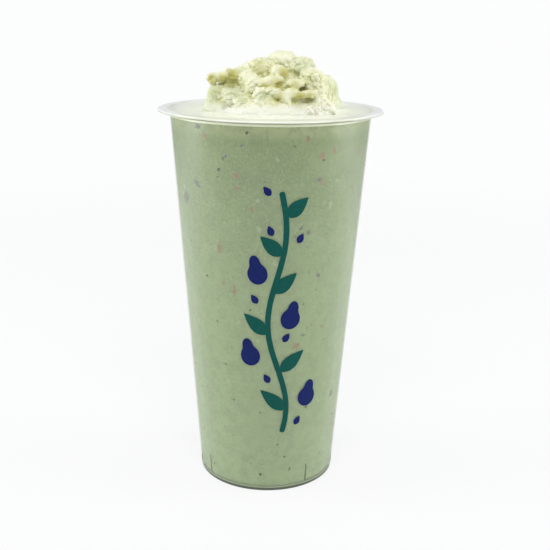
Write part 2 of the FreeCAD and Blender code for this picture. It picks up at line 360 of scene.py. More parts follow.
def froth_height(x, y):
    """Height of the shake's top over its level."""
    radius = hypot(x, y)
    from_wall = wall_radius(LEVEL) - WALL - radius
    climb = CLIMB * exp(-max(from_wall, 0) / CLIMB_REACH)
    across = hypot((x - HEAP_MIDDLE) / HEAP_REACH_X, y / HEAP_REACH_Y)
    from_heap = max(across - 0.90, 0) * HEAP_REACH_Y
    near_heap = exp(-from_heap / SWELL_REACH)
    swell = near_heap * (SWELL + 0.5 * MM * noise.noise(Vector((x, y, 3 * MM)) / (2.6 * MM)))
    spot = Vector((x, y, 0)) / (9 * MM)
    wave = 0.35 * MM * noise.noise(spot) + 0.12 * MM * noise.noise(spot * 3.7)
    return climb + swell + wave + FROTH_DEPTH


def tinted(tree, colour, share, strength, tint):
    """A colour taken part of the way to a tint, as far as a share says."""
    return blended(tree, maths(tree, "MULTIPLY", share, strength), colour, rgb(*tint))


shake_profile = [(0, FLOOR_TOP - SKIN)]
for step in range(SIDE_STEPS + 1):
    height = FLOOR_TOP - SKIN + (LEVEL - FLOOR_TOP + SKIN) * step / SIDE_STEPS
    shake_profile.append((wall_radius(height) - WALL + SKIN, height))
top_edge = shake_profile[-1][0]
for step in range(1, FROTH_RINGS + 1):
    shake_profile.append((top_edge * (1 - step / FROTH_RINGS), LEVEL))
shake_vertices, shake_faces = turned(shake_profile)
shake_vertices = [
    (x, y, z + froth_height(x, y)) if z > LEVEL - 1e-7 else (x, y, z)
    for x, y, z in shake_vertices]
shake = make_piece("shake_body", shake_vertices, shake_faces)

blended_avocado, tree = start_material("blended_avocado")
place, place_y, height = own_place(tree)
mottle = ramped(tree, grain(tree, place, 75, 4), 0.35, 0.68)
pulp = ramped(tree, grain(tree, place, 900, 3, 0.7), 0.45, 0.75)
dark_grit = ramped(tree, grain(tree, place, 1150, 2, 0.6), 0.60, 0.74)
clots = ramped(tree, grain(tree, place, 230, 4), 0.42, 0.62)
# Lower down and towards the bottom, the shake is painted paler as light bounced up from the
# floor.
lower_painted_light = ramped(tree, height, LEVEL - 14 * MM, LEVEL - 80 * MM)
# A band under the lip is painted darker as the lip's shadow.
under_lip_painted_shade = ramped(tree, height, LEVEL - 26 * MM, LEVEL - 8 * MM)
bottom_painted_light = ramped(tree, height, 62 * MM, 4 * MM)
# The top few millimetres are paler foam, painted paler still as light scattered down from the
# froth, most strongly at the front.
near_top = ramped(tree, height, LEVEL - 8.4 * MM, LEVEL - 2.8 * MM)
shake_front_painted_light = ramped(tree, place_y, -0.6 * NECK_RADIUS, -0.96 * NECK_RADIUS, 0.5, 0.95)
shake_colour = blended(tree, mottle, rgb(139, 158, 111), rgb(149, 168, 122))
for share, strength, tint in (
        (lower_painted_light, 0.75, (160, 180, 134)), (under_lip_painted_shade, 0.6, (137, 156, 98)),
        (bottom_painted_light, 0.6, (170, 189, 147)), (near_top, shake_front_painted_light, (202, 212, 158)),
        (clots, 0.3, (130, 143, 106)), (pulp, 0.45, (188, 196, 152)),
        (dark_grit, 0.7, (118, 132, 92))):
    shake_colour = tinted(tree, shake_colour, share, strength, tint)
# The froth is paler than the shake, and is painted lighter still as light from above.
froth_share = ramped(tree, height, LEVEL - 0.7 * MM, LEVEL - 0.2 * MM)
streaks = ramped(tree, grain(tree, place, 330, 3, 0.6), 0.4, 0.7)
wet_edge = ramped(tree, out_from_axis(tree, place), 34 * MM, 41 * MM)
froth_colour = blended(tree, streaks, rgb(243, 246, 231), rgb(233, 239, 216))
froth_colour = tinted(tree, froth_colour, wet_edge, 0.7, (236, 239, 232))
shake_colour = blended(tree, froth_share, shake_colour, froth_colour)
froth_bump = node(tree, "ShaderNodeBump", {
    "Height": grain(tree, place, 1500, 4, 0.65), "Distance": 0.12 * MM, "Strength": 0.4})
shake_shader = node(tree, "ShaderNodeBsdfPrincipled", {
    "Base Color": shake_colour,
    "Roughness": ramped(tree, streaks, 0, 1, 0.30, 0.48),
    "IOR": AVOCADO_IOR,
    "Subsurface Weight": 0.25,
    "Subsurface Radius": (1.0, 1.0, 0.55),
    "Subsurface Scale": 2.5 * MM,
    "Normal": froth_bump.outputs[0]})
dress(shake, blended_avocado, shake_shader)
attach(shake, "root")
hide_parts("shake")

# ---- Flecks in the shake ----------------------------------------------------------
# Bits of avocado skin, seed coat, reddish fibre and pale pulp that the blender left,
# showing where they lie against the wall, and bubbles caught by the ribs. Each is a
# small uneven lens, sunk in the shake's skin.

FLECK_RINGS, FLECK_SIDES = 3, 14
FLECK_DEPTH, FLECK_PROUD = 0.14 * MM, 0.03 * MM
FLECK_LOWEST, FLECK_HIGHEST = 6, 158
BUBBLES = 44

# Each fleck is its turn from the front in degrees, its height and half size in
# millimetres, how much longer than wide it is, and its lean in degrees.
SKIN_BITS = (
    (-12.0, 158.5, 0.76, 1.2, 40), (-26.0, 148.0, 0.85, 1.8, 60), (-29.0, 143.5, 0.90, 1.7, 15),
    (13.5, 153.5, 0.71, 1.1, 0), (20.0, 10.0, 0.93, 1.5, 70), (-4.5, 8.0, 0.76, 1.2, 20),
    (-4.5, 38.5, 0.59, 1.2, 90), (9.0, 23.0, 0.51, 1.1, 0), (15.0, 16.5, 0.54, 1.3, 30),
    (-25.0, 43.5, 0.59, 1.2, 0), (-49.0, 7.6, 0.7, 1.6, 30), (-51.0, 10.4, 0.45, 1.2, 0),
    (-30.0, 140.5, 0.4, 1.3, 20),
)
FIBRE_BITS = (
    (21.0, 156.0, 1.41, 1.2, 80), (30.0, 149.5, 1.83, 1.3, 60), (38.5, 151.0, 1.62, 1.6, 90),
    (-37.5, 156.0, 1.52, 1.2, 20), (-18.0, 136.5, 1.02, 1.3, 0), (58.0, 134.5, 1.22, 1.4, 90),
    (-22.0, 93.5, 1.72, 2.0, 88), (-31.0, 110.6, 1.90, 2.1, 88), (62.0, 149.0, 1.83, 1.6, 85),
)
SEED_BITS = (
    (-59.5, 129.5, 3.30, 1.3, 85), (83.0, 142.0, 1.73, 1.4, 90), (29.5, 140.0, 1.50, 1.3, 30),
    (24.5, 118.5, 1.30, 1.2, 0), (-42.5, 159.5, 1.50, 1.6, 15), (-24.5, 149.0, 0.90, 1.5, 60),
)


def scattered(count, smallest, largest, seed):
    """Flecks drawn at random over the whole side wall."""
    draw = random.Random(seed)
    bits = []
    for _ in range(count):
        half = smallest + (largest - smallest) * draw.random() ** 2
        bits.append((draw.uniform(0, 360), draw.uniform(FLECK_LOWEST, FLECK_HIGHEST), half,
                     draw.uniform(1.0, 1.9), draw.uniform(0, 180)))
    return bits


def fleck_mesh(bits, seed):
    """Vertices, faces and how near to its core each vertex is, for flecks in the skin."""
    draw = random.Random(seed)
    vertices, faces, cores = [], [], []
    for turn, height, half, stretch, lean in bits:
        turn, height, half, lean = radians(turn - 90), height * MM, half * MM, radians(lean)
        uneven = [draw.uniform(0.6, 1.3) for _ in range(FLECK_SIDES)]
        first = len(vertices)
        for ring in range(-FLECK_RINGS, FLECK_RINGS + 1):
            share = sqrt(1 - (ring / (FLECK_RINGS + 0.35)) ** 2)
            proud = FLECK_PROUD + FLECK_DEPTH * 0.5 * ring / FLECK_RINGS
            for side in range(FLECK_SIDES):
                around = 2 * pi * side / FLECK_SIDES
                long = half * sqrt(stretch) * share * uneven[side] * cos(around)
                wide = half / sqrt(stretch) * share * uneven[side] * sin(around)
                sideways = long * cos(lean) - wide * sin(lean)
                up = height + long * sin(lean) + wide * cos(lean)
                radius = wall_radius(up) - WALL + SKIN + proud
                angle = turn + sideways / radius
                vertices.append((radius * cos(angle), radius * sin(angle), up))
                cores.append(abs(ring) / FLECK_RINGS)
        rings = 2 * FLECK_RINGS
        for ring in range(rings):
            low = first + ring * FLECK_SIDES
            for side in range(FLECK_SIDES):
                after = (side + 1) % FLECK_SIDES
                faces.append((low + side, low + after,
                              low + FLECK_SIDES + after, low + FLECK_SIDES + side))
        faces.append(tuple(first + side for side in reversed(range(FLECK_SIDES))))
        last = first + rings * FLECK_SIDES
        faces.append(tuple(last + side for side in range(FLECK_SIDES)))
    return vertices, faces, cores


# Bubbles caught by the ribs, tinted pale as painted glints.
bubble_draw = random.Random(5)
BUBBLE_BITS = [
    (degrees(RIB_TURN) + 90 * (index % RIB_COUNT + 1) + bubble_draw.gauss(2.5, 3.0),
     3.4 + 6.0 * bubble_draw.random() ** 1.6, bubble_draw.uniform(0.12, 0.32), 1.1, 0)
    for index in range(BUBBLES)]

# Each kind is its bits with a set place, how many more are scattered and between which
# half sizes in millimetres, its tint, and its seed.
FLECK_KINDS = {
    "skin_flecks": (SKIN_BITS, (80, 0.2, 0.8), (50, 62, 34), 11),
    "fibre_flecks": (FIBRE_BITS, (36, 0.5, 1.8), (164, 126, 100), 23),
    "seed_coat_flecks": (SEED_BITS, (28, 0.5, 2.0), (108, 106, 108), 37),
    "pale_pulp_flecks": ((), (170, 0.4, 1.5), (172, 187, 139), 51),
    "trapped_bubble_glints": (BUBBLE_BITS, (0, 0, 0), (226, 232, 208), 63),
}
for name, (seen_bits, spread, tint, seed) in FLECK_KINDS.items():
    vertices, faces, cores = fleck_mesh(list(seen_bits) + scattered(*spread, seed), seed)
    flecks = make_piece(name, vertices, faces)
    layer = flecks.data.attributes.new("core", "FLOAT", "POINT")
    layer.data.foreach_set("value", cores)
    fleck_tint, tree = start_material(name + "_tint")
    place = node(tree, "ShaderNodeTexCoord").outputs["Object"]
    core = node(tree, "ShaderNodeAttribute", attribute_name="core").outputs["Fac"]
    patch = ramped(tree, grain(tree, place, 1300, 3), 0.3, 0.62)
    strength = maths(tree, "MULTIPLY", core, ramped(tree, patch, 0, 1, 0.35, 1.0))
    fleck_shader = node(tree, "ShaderNodeBsdfPrincipled", {
        "Base Color": blended(tree, strength, rgb(150, 167, 122), rgb(*tint)),
        "Roughness": ramped(tree, patch, 0, 1, 0.4, 0.55)})
    dress(flecks, fleck_tint, fleck_shader)
    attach(flecks, "root")

# ---- Print ------------------------------------------------------------------------
# Two inks screened straight onto the outside of the plastic: a teal sprig with leaves
# on both sides, and navy pears and seeds between them. The film is thin and level.

INK_BELOW, INK_OVER = 0.03 * MM, 0.045 * MM
INK_ACROSS = 6
STEM_LOW, STEM_HIGH = 29.0, 136.0
STEM_WIDTH, STEM_STATIONS = 2.3, 110
LEAF_WIDEST, LEAF_LENGTH, LEAF_LEAN, LEAF_STATIONS = 3.3, 14.5, 48, 26
PEAR_BELLY, PEAR_NECK, PEAR_LENGTH, PEAR_LEAN, PEAR_STATIONS = 4.1, 2.3, 12.5, 14, 36
BELLY_AT, NECK_AT = 0.36, 0.70
SEED_WIDEST, SEED_LENGTH, SEED_STATIONS = 1.45, 4.6, 16


def stem_line(share):
    """A point of the sprig's stem, in millimetres round and up the wall."""
    return (4.0 + 4.6 * sin(2 * pi * 1.35 * share + 0.6) * (1 - 0.35 * share),
            STEM_LOW + (STEM_HIGH - STEM_LOW) * share)


def straight_line(start, length, lean):
    """A line of points from a start, leaning from upright by an angle in degrees."""
    step_x, step_z = length * sin(radians(lean)), length * cos(radians(lean))
    return lambda share: (start[0] + step_x * share, start[1] + step_z * share)


def even_width(share):
    """A line of even width with round ends."""
    ends = min(share, 1 - share) / 0.011
    return STEM_WIDTH / 2 * sqrt(max(1 - max(1 - ends, 0) ** 2, 0))


def leaf_width(share):
    """A leaf's half width, pointed at both ends and widest below its middle."""
    return LEAF_WIDEST * sin(pi * share ** 0.8) ** 0.85 * (1 - 0.25 * share)


def pear_width(share):
    """A pear's half width: a round belly under a narrow shoulder."""
    belly = sqrt(max(1 - ((share - BELLY_AT) / BELLY_AT) ** 2, 0)) * PEAR_BELLY
    neck = sqrt(max(1 - ((share - NECK_AT) / (1 - NECK_AT)) ** 2, 0)) * PEAR_NECK
    if not BELLY_AT < share < NECK_AT:
        return max(belly, neck)
    climb = (share - BELLY_AT) / (NECK_AT - BELLY_AT)
    return max(belly, neck, PEAR_BELLY + (PEAR_NECK - PEAR_BELLY) * climb ** 1.3)


def seed_width(share):
    """A small seed's half width, like a drop."""
    return SEED_WIDEST * sin(pi * share ** 0.75)


def ink_mesh(shapes):
    """Vertices and faces of closed ink films wrapped round the wall."""
    vertices, faces = [], []
    for line, half_width, stations in shapes:
        first = len(vertices)
        for layer in (-INK_BELOW, INK_OVER):
            for station in range(stations + 1):
                share = station / stations
                share = min(max(0.5 - 0.5 * cos(pi * share), 0.002), 0.998)
                here, ahead = line(share), line(share + 0.001)
                along = Vector((ahead[0] - here[0], ahead[1] - here[1])).normalized()
                half = max(half_width(share), 0.04)
                for step in range(INK_ACROSS + 1):
                    side = (2 * step / INK_ACROSS - 1) * half
                    s, z = here[0] + along.y * side, here[1] - along.x * side
                    radius = wall_radius(z * MM)
                    angle = s * MM / radius - pi / 2
                    radius = radius + layer
                    vertices.append((radius * cos(angle), radius * sin(angle), z * MM))
        row = INK_ACROSS + 1
        layer_size = row * (stations + 1)
        for station in range(stations):
            for step in range(INK_ACROSS):
                a = first + station * row + step
                faces.append((a, a + row, a + row + 1, a + 1))
                b = a + layer_size
                faces.append((b, b + 1, b + row + 1, b + row))
        border = [(station * row, (station + 1) * row) for station in range(stations)]
        border += [((station + 1) * row - 1 + row, (station + 1) * row - 1)
                   for station in range(stations)]
        border += [(step + 1, step) for step in range(INK_ACROSS)]
        border += [(stations * row + step, stations * row + step + 1)
                   for step in range(INK_ACROSS)]
        for a, b in border:
            faces.append((first + b, first + a, first + a + layer_size, first + b + layer_size))
    return vertices, faces


# Leaves, pears and seeds are set out by their share of the stem's height, their side
# and how far out from the stem they start.
sprig = [(stem_line, even_width, STEM_STATIONS)]
for share, side in ((0.10, -1), (0.27, 1), (0.43, -1), (0.60, 1), (0.75, -1), (0.90, 1)):
    bud_s, bud_z = stem_line(share)
    leaf_line = straight_line(
        (bud_s + side * 0.6, bud_z + 0.4), LEAF_LENGTH - 3.5 * share, side * LEAF_LEAN)
    sprig.append((leaf_line, leaf_width, LEAF_STATIONS))
fruit = []
for share, side, reach in ((0.155, 1, 8.6), (0.345, -1, 8.4), (0.50, 1, 8.2), (0.685, -1, 7.6)):
    hang_s, hang_z = stem_line(share)
    pear_line = straight_line(
        (hang_s + side * reach, hang_z - 5), PEAR_LENGTH, side * PEAR_LEAN)
    fruit.append((pear_line, pear_width, PEAR_STATIONS))
for share, side, reach, lean in (
        (0.03, 1, 5.0, 30), (0.225, -1, 5.4, -30), (0.40, 1, 5.6, 35), (0.56, -1, 5.2, -35),
        (0.80, 1, 5.0, 30), (0.83, -1, 5.6, -20), (0.985, -1, 4.6, -40)):
    seed_s, seed_z = stem_line(share)
    seed_line = straight_line((seed_s + side * reach, seed_z), SEED_LENGTH, lean)
    fruit.append((seed_line, seed_width, SEED_STATIONS))

for name, shapes, ink, worn in (
        ("teal_sprig_print", sprig, (0, 79, 71), (10, 89, 80)),
        ("navy_pear_print", fruit, (9, 28, 92), (18, 37, 101))):
    film = make_piece(name, *ink_mesh(shapes))
    ink_film, tree = start_material(name.replace("print", "ink"))
    place = node(tree, "ShaderNodeTexCoord").outputs["Object"]
    thin = ramped(tree, grain(tree, place, 900, 4, 0.65), 0.42, 0.75)
    ink_shader = node(tree, "ShaderNodeBsdfPrincipled", {
        "Base Color": blended(tree, thin, rgb(*ink), rgb(*worn)),
        "Roughness": ramped(tree, thin, 0, 1, 0.42, 0.55),
        "Specular IOR Level": 0.15})
    dress(film, ink_film, ink_shader)
    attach(film, "root")

# ---- Heap of curds ----------------------------------------------------------------
# Icy avocado mash piled on the shake. It froze and broke into soft curds, folds and
# short rolls, grainy where it tore and smooth where it melted, painted yellower in
# the hollows as shade and whiter on the tips as highlight. It is one mass, so the
# curds are fused and then roughened.

# Sizes and places here are in millimetres from the cup's axis at the shake's level.
# Each curd is (x, y, z), its half sizes, its turn about Z and its tilt, in degrees.
BIG_CURDS = {
    "core": ((3.1, 1, -2), (23.5, 23.0, 21.5), 0, 0),
    "foot": ((0, 0, -0.4), (30.5, 25.5, 2.8), 0, 0),
    "left_bank": ((-14.5, 0, 4), (13.0, 12.0, 10.5), 0, 0),
    "branch": ((-16.6, -7.0, 15.0), (5.8, 3.0, 2.5), 0, 6),
    "branch_bump": ((-18.2, -8.2, 15.5), (2.0, 2.7, 2.3), 0, 0),
    "branch_end": ((-14.0, -8.2, 15.4), (2.1, 2.8, 2.6), 0, 0),
    "branch_neck": ((-21.0, -7.4, 14.4), (3.0, 2.2, 2.1), 0, 0),
    "branch_tip": ((-24.1, -8.0, 14.0), (2.3, 2.8, 2.7), 0, 0),
    "under_branch": ((-22.6, -8.0, 6.6), (3.9, 4.2, 4.4), 0, 0),
    "left_toe": ((-22.6, -10.0, 1.8), (5.4, 5.6, 3.4), 0, 0),
    "slush": ((-15.9, -9.5, 6.0), (6.0, 5.0, 4.6), 0, 0),
    "round_curd": ((-11.0, -17.6, 4.8), (4.2, 2.3, 2.1), -32, -12),
    "left_block": ((-9.4, -9.8, 14.2), (4.4, 4.0, 3.2), -14, 14),
    "left_block_foot": ((-6.6, -12.6, 11.0), (3.2, 4.2, 4.2), 0, 0),
    "left_block_toe": ((-8.0, -13.4, 9.4), (2.4, 3.0, 2.6), 0, 0),
    "left_crest": ((-3.7, -5.6, 18.0), (6.0, 6.0, 4.2), 0, 0),
    "summit": ((4.6, -0.8, 20.7), (6.8, 7.2, 4.1), 0, 0),
    "right_crest": ((12.8, -5.0, 17.6), (5.9, 6.2, 4.9), 0, 0),
    "drop": ((3.4, -11.4, 17.0), (3.9, 3.4, 3.0), 0, -24),
    "upper_fold": ((0.4, -16.6, 13.5), (5.2, 2.6, 2.3), 0, 7),
    "middle_fold": ((10.2, -17.8, 12.9), (4.4, 2.5, 1.9), 0, -6),
    "right_block": ((16.6, -12.6, 14.6), (4.8, 4.3, 4.0), 0, 0),
    "right_ledge": ((17.6, -14.4, 10.6), (4.6, 3.6, 2.6), 0, 0),
    "right_flank": ((22.8, -6.4, 8.4), (4.6, 5.2, 7.4), 0, 0),
    "right_edge": ((24.6, -4.8, 5.6), (3.9, 5.0, 7.2), 0, 0),
    "right_fill": ((19.6, -8.8, 10.2), (4.4, 5.0, 5.8), 0, 0),
    "right_toe": ((26.5, -1.5, 2.0), (3.6, 5.0, 3.6), 0, 0),
    "low_curd": ((-3.6, -18.4, 7.8), (3.0, 2.8, 2.8), 0, 0),
    "low_arch": ((-0.4, -19.0, 10.0), (3.6, 2.2, 1.2), 0, 12),
    "low_arch_end": ((4.6, -20.6, 8.2), (4.8, 2.0, 1.3), -14, -34),
    "low_curd_behind": ((1.2, -18.8, 8.2), (3.4, 2.4, 2.0), 0, 0),
    "low_curd_in_front": ((-1.4, -21.2, 5.2), (4.4, 2.2, 1.8), 0, -6),
    "low_fold": ((9.4, -20.2, 9.0), (4.2, 2.6, 1.8), 0, -10),
    "low_fold_end": ((14.2, -20.4, 9.0), (4.6, 2.3, 1.5), 0, 8),
    "ridge_peak": ((19.2, -14.6, 5.6), (3.6, 4.4, 3.8), 0, 0),
    "front_ridge": ((20.6, -15.8, 2.8), (6.6, 5.6, 4.2), 0, -16),
    "front_slush": ((-0.5, -19.3, 0.4), (16.5, 7.0, 5.3), 0, 0),
    "ridge_slush": ((15.5, -18.0, 0.0), (9.0, 6.0, 2.3), -20, 0),
    "ridge_toe": ((15.0, -20.4, 1.6), (5.6, 4.0, 2.9), 0, 0),
}
BACK_CURDS, SLUSH_LUMPS, SMALL_CURDS = 17, 26, 459
GOLDEN_ANGLE, GOLDEN_SHARE = 137.5, 0.618
FUSE_VOXEL, SKIN_VOXEL = 0.6, 0.38
SOFTENING, CREVICE_REACH, VALLEY_REACH = 9, 16, 130

# Each spot on the heap is its place, how far it reaches and how strong it is. Small
# curds stand out of the skin where it tore, and the melted spots stay nearly smooth.
TORN_SPOTS = (
    ((-6.4, -15.4, 10.6), 3.6, 0.9),
    ((-5.0, -8.0, 19.5), 5.0, 0.8),
    ((13.0, -8.0, 19.5), 6.5, 0.65),
    ((17.0, -15.0, 13.5), 5.5, 1.0),
    ((20.0, -20.0, 4.0), 7.0, 0.9),
    ((-3.4, -21.0, 8.0), 4.0, 0.8),
    ((1.6, -21.6, 8.4), 3.4, 0.5),
    ((-11.0, -19.0, 5.0), 4.5, 0.7),
    ((-14.0, 12.0, 12.0), 8.0, 0.9),
    ((8.0, 19.0, 10.0), 7.0, 0.9),
    ((22.0, 6.0, 7.0), 6.0, 0.8),
    ((-16.0, -10.0, 14.0), 4.0, 0.45),
    ((-14.0, -14.0, 4.5), 5.0, 0.45),
    ((-22.5, -11.5, 7.0), 4.0, 0.35),
)
MELTED_SPOTS = (
    ((4.6, -3.0, 24.0), 5.5, 0.85),
    ((25.0, -9.0, 9.0), 6.5, 0.75),
    ((-23.0, -10.0, 6.0), 4.5, 0.3),
    ((-16.0, -13.0, 6.5), 5.5, 0.25),
    ((3.6, -14.6, 17.0), 3.4, 0.9),
    ((0.4, -18.6, 13.8), 4.4, 0.75),
    ((10.2, -19.8, 13.0), 3.6, 0.7),
    ((-10.4, -13.0, 15.6), 4.4, 0.8),
    ((15.0, -22.0, 9.0), 3.0, 0.6),
    ((11.5, -22.0, 7.6), 4.5, 0.7),
    ((2.0, -26.0, 2.6), 6.0, 0.9),
    ((-9.0, -24.0, 2.4), 5.0, 0.9),
    ((-6.0, 20.0, 9.0), 7.0, 0.85),
    ((17.0, 16.0, 12.0), 6.0, 0.8),
    ((2.0, 10.0, 21.0), 6.0, 0.75),
)

# Pits are as deep as they are strong. Upright streaks run where the heap slid.
PITS = (
    ((-24.3, -10.6, 14.1), 1.2, 1.3),
    ((-16.0, -10.6, 14.6), 1.3, 0.8),
    ((-16.0, -10.6, 11.9), 1.9, 1.0),
    ((13.6, -17.6, 12.2), 0.9, 1.8),
    ((3.4, -17.6, 12.0), 1.6, 0.7),
)
STREAKED_SPOTS = (
    ((24.6, -10.0, 10.5), 6.5, 1.0),
    ((27.0, -4.0, 7.0), 6.0, 1.0),
    ((17.6, -16.6, 13.0), 3.6, 0.6),
    ((-23.0, -11.0, 6.0), 4.5, 0.5),
    ((20.0, 16.0, 8.0), 6.0, 0.8),
)
KNOB_CELLS, CURD_CELLS, GRIT_CELLS = (3.8, 2.6), (1.45, 1.1), (0.75, 0.62)


def ellipsoid(centre, halves, turn=0, tilt=0, fineness=3):
    """Vertices and faces of an ellipsoid curd, tilt lifting its +X end."""
    ball = bmesh.new()
    bmesh.ops.create_icosphere(ball, subdivisions=fineness, radius=1.0)
    spin = Euler((0, -radians(tilt), radians(turn)), "XYZ").to_matrix()
    size = Vector(halves)
    vertices = [spin @ (v.co * size) + Vector(centre) for v in ball.verts]
    faces = [[v.index for v in face.verts] for face in ball.faces]
    ball.free()
    return vertices, faces


def joined(parts):
    """One list of vertices and one of faces from several."""
    vertices, faces = [], []
    for part_vertices, part_faces in parts:
        first = len(vertices)
        vertices.extend(part_vertices)
        faces.extend([[first + index for index in face] for face in part_faces])
    return vertices, faces


def fused(vertices, faces, voxel):
    """The single skin round overlapping closed shapes, as a mesh."""
    mesh = bpy.data.meshes.new("loose_curds")
    mesh.from_pydata([tuple(v) for v in vertices], [], faces)
    holder = bpy.data.objects.new("loose_curds", mesh)
    bpy.context.scene.collection.objects.link(holder)
    fuse = holder.modifiers.new("fuse", "REMESH")
    fuse.mode = "VOXEL"
    fuse.voxel_size = voxel
    graph = bpy.context.evaluated_depsgraph_get()
    skin = bpy.data.meshes.new_from_object(holder.evaluated_get(graph))
    bpy.data.objects.remove(holder)
    bpy.data.meshes.remove(mesh)
    return skin


def mesh_arrays(mesh):
    """Vertex places, vertex normals and edges of a mesh, as arrays."""
    places = np.empty(len(mesh.vertices) * 3)
    mesh.vertices.foreach_get("co", places)
    normals = np.empty(len(mesh.vertices) * 3)
    mesh.vertices.foreach_get("normal", normals)
    edges = np.empty(len(mesh.edges) * 2, int)
    mesh.edges.foreach_get("vertices", edges)
    return places.reshape(-1, 3), normals.reshape(-1, 3), edges.reshape(-1, 2)


def relaxed(values, edges, rounds):
    """Each vertex's value averaged with its neighbours', again and again."""
    count = len(values)
    degree = np.bincount(edges.ravel(), minlength=count)[:, None]
    for _ in range(rounds):
        total = np.zeros_like(values)
        for column in range(values.shape[1]):
            total[:, column] = np.bincount(
                edges[:, 0], values[edges[:, 1], column], count)
            total[:, column] += np.bincount(
                edges[:, 1], values[edges[:, 0], column], count)
        values = 0.5 * values + 0.5 * total / degree
    return values


def near_spots(places, spots):
    """How near each place is to the nearest of some spots, from 0 to its strength."""
    nearness = np.zeros(len(places))
    for centre, reach, strength in spots:
        away = np.linalg.norm(places - np.array(centre), axis=1) / reach
        nearness = np.maximum(nearness, strength * np.exp(-away ** 3))
    return nearness


draw = random.Random(7)
heap_parts = [ellipsoid(*curd) for curd in BIG_CURDS.values()]
for index in range(BACK_CURDS):
    turn = radians(index * GOLDEN_ANGLE) % pi
    climb = radians(12 + 54 * (index * GOLDEN_SHARE % 1.0))
    girth = 4.9 + 1.8 * sin(2.4 * index)
    centre = (3.1 + 21.0 * cos(climb) * cos(turn), 22.3 * cos(climb) * sin(turn),
              20.0 * sin(climb))
    heap_parts.append(ellipsoid(
        centre, (girth * 1.15, 0.85 * girth, 0.75 * girth), degrees(turn) + 60, 12))
for index in range(SLUSH_LUMPS):
    turn = radians(index * GOLDEN_ANGLE)
    spread = draw.uniform(0.86, 0.99)
    heap_parts.append(ellipsoid(
        (0.8 + 29.5 * spread * cos(turn), 25.0 * spread * sin(turn), draw.uniform(0.2, 0.7)),
        (draw.uniform(2.4, 4.6), draw.uniform(1.8, 3.0), draw.uniform(1.1, 1.7)),
        draw.uniform(0, 180), 0))
rough_heap = fused(*joined(heap_parts), FUSE_VOXEL)
places, normals, edges = mesh_arrays(rough_heap)
places = relaxed(places, edges, SOFTENING)
rough_heap.vertices.foreach_set("co", places.ravel())
rough_heap.update()
torn = near_spots(places, TORN_SPOTS)
outwards = mesh_arrays(rough_heap)[1]
heap_parts = [([Vector(p) for p in places],
               [list(face.vertices) for face in rough_heap.polygons])]
while len(heap_parts) <= SMALL_CURDS:
    pick = draw.randrange(len(places))
    if places[pick][2] < 1.5 or draw.random() > torn[pick]:
        continue
    girth = draw.uniform(0.38, 0.85)
    heap_parts.append(ellipsoid(
        places[pick] + outwards[pick] * girth * draw.uniform(-0.3, 0.25),
        (girth * draw.uniform(1.0, 1.6), girth, girth * draw.uniform(0.6, 0.9)),
        draw.uniform(0, 180), draw.uniform(-35, 35), fineness=2))
heap_mesh = fused(*joined(heap_parts), SKIN_VOXEL)
places, normals, edges = mesh_arrays(heap_mesh)
melted = near_spots(places, MELTED_SPOTS)
torn = near_spots(places, TORN_SPOTS)
streaked = near_spots(places, STREAKED_SPOTS)
pitted = near_spots(places, PITS)
foot_hold = np.clip((places[:, 2] + 0.3) / 2.0, 0, 1)


def cells(spot, wide, high):
    """How far a spot rises on its rounded cell, and how deep it lies in a crease."""
    near, next_near = noise.voronoi(Vector((spot.x / wide, spot.y / wide, spot.z / high)))[0][:2]
    return 0.5 - near ** 2, exp(-(next_near - near) / 0.14)


def pushed(places, normals, depth):
    """Places moved along their normals, with the new normals of the mesh."""
    places = places + normals * (depth * foot_hold)[:, None]
    heap_mesh.vertices.foreach_set("co", places.ravel())
    heap_mesh.update()
    return places, mesh_arrays(heap_mesh)[1]


# The torn skin is built of knobs, curds on the knobs, and grit on the curds. Their cells
# are bent from a fixed seed, so the skin is the same each time.
noise.seed_set(2)
depth = np.empty(len(places))
rough = np.empty(len(places))
for index, place in enumerate(places):
    spot = Vector(place)
    patch = noise.noise(spot * 0.13 + Vector((5, 2, 7))) + 0.4 * noise.noise(spot * 0.4)
    wild = 0.42 + 0.9 * patch + 0.8 * torn[index]
    rough[index] = min(max(wild, 0.12), 1.15) * (1 - melted[index])
    bent = spot + noise.noise_vector(spot * 0.2) * 2.2
    knob, crease = cells(bent, *KNOB_CELLS)
    broad = noise.noise(spot * 0.2)
    depth[index] = 0.6 * broad + (1.15 * knob - 0.25 * crease) * (0.3 + 0.7 * rough[index])
places, normals = pushed(places, normals, depth - pitted)
for index, place in enumerate(places):
    spot = Vector(place)
    streak = noise.noise(Vector((spot.x * 1.1, spot.y * 1.1, spot.z * 0.16)))
    bent = spot + noise.noise_vector(spot * 0.5) * 1.1
    curd, crease = cells(bent, *CURD_CELLS)
    grit, pit = cells(spot + noise.noise_vector(spot) * 0.4, *GRIT_CELLS)
    fine = noise.noise(spot * 1.9)
    depth[index] = (rough[index] * (0.6 * curd - 0.14 * crease + 0.26 * grit - 0.08 * pit)
                    + 0.15 * fine + 0.75 * streaked[index] * streak)
places, normals = pushed(places, normals, depth)
# How far each place lies inside its smoothed surroundings, on a fine and a broad scale, to paint
# shade into creases and valleys.
crevice = ((relaxed(places, edges, CREVICE_REACH) - places) * normals).sum(axis=1)
valley = ((relaxed(places, edges, VALLEY_REACH) - places) * normals).sum(axis=1)

